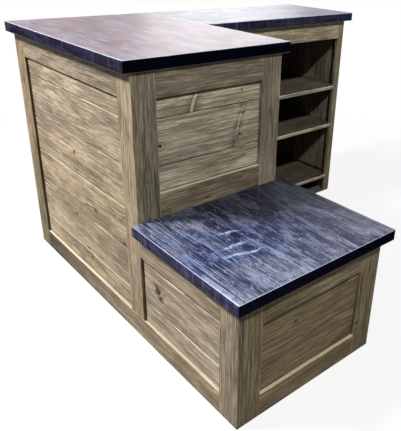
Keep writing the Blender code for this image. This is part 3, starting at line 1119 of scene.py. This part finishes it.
# Which way a board is paler, and by how much from end to end and from side to side
# On the low top the darker side by the tall block is painted shade and the paler front corner a painted
# highlight. The front bottom rail is darker towards its far end, and the far front stile and wing stile
# towards their feet.
PALER_WAYS = {
    "low_top": (0.60, -0.70, 0.0),
    "front_bottom_rail": (1.08, 0.0, 0.0),
    "front_far_stile": (0.0, 0.0, 0.30),
    "wing_right_stile": (0.0, 0.0, 0.45),
}
print("boards with their own depth of stain:", len(STAIN_AND_LIGHT_TINTS))

# %% Knots
# Shares of a board's length and width from its middle, and a radius
KNOTS = {
    "front_low_plank_2": ((-0.296, 0.03, 0.013), (-0.262, -0.10, 0.008), (-0.318, 0.14, 0.007)),
    "front_tall_plank_1": ((0.074, 0.24, 0.0080),),
    "front_tall_plank_2": ((0.044, -0.44, 0.0075), (-0.067, 0.34, 0.006)),
    "front_tall_plank_3": ((0.451, -0.43, 0.006), (0.171, -0.146, 0.006)),
    "near_tall_plank_2": ((-0.470, -0.07, 0.006), (0.312, 0.28, 0.006), (0.288, -0.20, 0.005)),
    "near_tall_plank_3": ((0.30, 0.20, 0.003),),
    "low_top": (
        (-0.119, 0.123, 0.014), (0.036, -0.100, 0.015), (0.189, 0.058, 0.011),
        (-0.126, -0.172, 0.014), (0.012, -0.192, 0.012), (0.115, -0.185, 0.015),
    ),
}
# Spikes likewise, with half the width of their bands
SPIKES = {
    "near_tall_plank_2": ((0.285, 0.12, 0.0044),),
    "near_tall_plank_3": ((-0.165, 0.0, 0.007),),
    "low_top": (
        (-0.092, -0.172, 0.0042), (0.050, -0.225, 0.0046),
        (0.133, -0.272, 0.0042), (0.162, -0.180, 0.0030),
    ),
}
NO_MARK = (900.0, 0.0, 0.001)
KNOT_CHANCES = (0, 0, 0, 1)
KNOT_RANGES = ((-0.48, 0.48), (-0.4, 0.4), (0.003, 0.008))


def marks_of(listed, names, size, ways, log_start):
    """Marks by name as grain coordinates and a size, from shares of a board's length and width."""
    length = abs(size.dot(ways[0]))
    width = abs(size.dot(ways[1]))
    marks = dict.fromkeys(names, NO_MARK)
    for name, (share, rise, reach) in zip(names, listed):
        marks[name] = (share * length + log_start.x, rise * width + log_start.y, reach)
    return marks


def drawn_knots(dice):
    """Now and then one small knot, for boards that the photograph says nothing of."""
    count = dice.choice(KNOT_CHANCES)
    return [[dice.uniform(*ends) for ends in KNOT_RANGES] for _ in range(count)]


print("knots placed by hand:", sum(len(listed) for listed in KNOTS.values()))

# %% Notches and panels
FAR_PANEL = "far_grooved_panel"
ENDLESS = Vector((20.0, 20.0, 20.0))
LEAST_OVERLAP = 0.001
CUT_BY = {"shelf_pine": "weathered_trim", "carcass_pine": "shelf_pine"}


def box_solid(name, low, high):
    """A plain box used only to cut notches and housings."""
    bpy.ops.mesh.primitive_cube_add(size=1.0)
    made = bpy.context.object
    made.name = name
    made.data.transform(Matrix.LocRotScale((low + high) / 2, None, high - low))
    return made


def cutting_neighbours(low, high, slot):
    """Stiles that a shelf goes round, or shelves that a sheet houses."""
    found = []
    for other, other_slot in slot_of.items():
        other_low, other_high = corners(other)
        overlaps = [min(high[axis], other_high[axis]) - max(low[axis], other_low[axis]) for axis in range(3)]
        if other_slot == CUT_BY.get(slot) and min(overlaps) > LEAST_OVERLAP:
            found.append((other, other_low, other_high))
    return found


def panel_of(name):
    """Middle and size of the whole panel that a plank belongs to, endless through its thickness."""
    if "_plank" not in name:
        return Vector(), ENDLESS
    family = name.rsplit("_", 1)[0]
    boxes = [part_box(node) for node in slot_of if node.rsplit("_", 1)[0] == family] or [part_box(FAR_PANEL)]
    lowest = Vector([min(box[0][axis] for box in boxes) for axis in range(3)])
    highest = Vector([max(box[1][axis] for box in boxes) for axis in range(3)])
    size = highest - lowest
    thin = min(range(3), key=lambda axis: size[axis])
    size[thin] = ENDLESS[thin]
    return (lowest + highest) / 2, size


print("cut by neighbours:", ", ".join(CUT_BY))

# %% Grow every board
SEED = 41
CUT_CLEARANCE = Vector((0.0003, 0.0003, 0.0003))
ALL_WAYS = Vector((1, 1, 1))
EDGE_WEAR = 0.0007
UNEVENNESS = 0.0003
LOG_RANGES = ((0, 60), (-0.06, 0.06), (0.03, 0.11))
NOISE_RANGES = ((0, 30),) * 3
TINT_RANGE = (-0.07, 0.07)
WARMTH_RANGE = (-0.12, 0.10)
cutters = []
boards = {}


def add_tree(board, name, tree, keys, settings):
    """Gives a board a tree, and sets the tree's inputs by their identifiers."""
    grower = board.modifiers.new(name, "NODES")
    grower.node_group = tree
    for label, value in settings.items():
        grower[keys[label]] = value


def grow_board(name, low, high, slot):
    """A board of the given box. Its name picks its random draws and what the tables say of it."""
    dice = random.Random(f"{SEED} {name}")
    size = high - low
    ways = grain_ways(name, size)
    edge_radius, spacing = BOARD_GRIDS[slot]
    # A plank's ends run under the stiles, so only its long edges are eased
    rounded_ways = ALL_WAYS - ways[0] if slot == "weathered_plank" else ALL_WAYS
    log_start = Vector([dice.uniform(*ends) for ends in LOG_RANGES])
    board = bpy.data.objects.new(f"{name}_board", bpy.data.meshes.new(f"{name}_board"))
    bpy.context.scene.collection.objects.link(board)
    place = {"Size": size, "Middle": (low + high) / 2, "Rounded Ways": rounded_ways}
    add_tree(board, "worn_board", shape_tree, shape_keys, {
        **place,
        "Spacing": spacing,
        "Edge Radius": edge_radius,
        "Edge Wear": EDGE_WEAR,
        "Unevenness": UNEVENNESS,
        "Noise Start": Vector([dice.uniform(*ends) for ends in NOISE_RANGES]),
    })

    for other, other_low, other_high in cutting_neighbours(low, high, slot):
        cutter = box_solid(f"{name}_cut_{other}", other_low - CUT_CLEARANCE, other_high + CUT_CLEARANCE)
        cutters.append(cutter)
        notch = board.modifiers.new(f"cut_{other}", "BOOLEAN")
        notch.object = cutter
        notch.solver = "EXACT"

    panel_middle, panel_size = panel_of(name)
    tint = STAIN_AND_LIGHT_TINTS.get(name, dice.uniform(*TINT_RANGE))
    warmth = WARMTHS.get(name, dice.uniform(*WARMTH_RANGE))
    knots = KNOTS[name] if name in KNOTS else drawn_knots(dice)
    add_tree(board, "board_grain", grain_tree, grain_keys, {
        **place,
        **dict(zip(BOARD_WAYS, ways)),
        "Log Start": log_start,
        "Tint": tint,
        "Warmth": warmth,
        "Edge Tone": EDGE_TONES.get(name, SLOT_EDGE_TONES.get(slot, 0.0)),
        "Paler Way": PALER_WAYS.get(name, (0.0, 0.0, 0.0)),
        "Panel Size": panel_size,
        "Panel Middle": panel_middle,
        "Finish": finishes[slot],
        **marks_of(knots, KNOT_NAMES, size, ways, log_start),
        **marks_of(SPIKES.get(name, ()), SPIKE_NAMES, size, ways, log_start),
    })
    return board


for node, slot in slot_of.items():
    if node != FAR_PANEL:
        boards[node] = grow_board(node, *corners(node), slot)
print("boards grown:", len(boards), "and notches cut:", len(cutters))

# %% [markdown]
# ## The far panel and plain meshes
# The far face is planked like the customer face, but the frame holds its planks as one grooved
# panel. Cutting grooves into a board would carry its grain across them, so six planks are grown
# side by side, as high as those of the customer face, and joined. Every board then becomes a plain
# mesh, because modifiers that are still live would be left behind when the counter is moved on.

# %% The far panel, plank by plank
TALL_PLANKS = 6
far_low, far_high = corners(FAR_PANEL)
far_planks = []
for number in range(1, TALL_PLANKS + 1):
    front_low, front_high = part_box(f"front_tall_plank_{number}")
    plank_low = Vector((far_low.x, far_low.y, front_low[2]))
    plank_high = Vector((far_high.x, far_high.y, front_high[2]))
    far_planks.append(grow_board(f"far_plank_{number}", plank_low, plank_high, slot_of[FAR_PANEL]))
print("far planks:", len(far_planks))

# %% Plain meshes
for board in (*boards.values(), *far_planks):
    graph = bpy.context.evaluated_depsgraph_get()
    mesh = bpy.data.meshes.new_from_object(board.evaluated_get(graph), depsgraph=graph)
    board.modifiers.clear()
    board.data = mesh
with bpy.context.temp_override(active_object=far_planks[0], selected_editable_objects=far_planks):
    bpy.ops.object.join()
far_planks[0].name = f"{FAR_PANEL}_board"
boards[FAR_PANEL] = far_planks[0]
for cutter in cutters:
    bpy.data.objects.remove(cutter, do_unlink=True)
for node, board in boards.items():
    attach(board, "root")
    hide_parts(node)
print("triangles:", sum(2 * len(board.data.polygons) for board in boards.values()))

# %% [markdown]
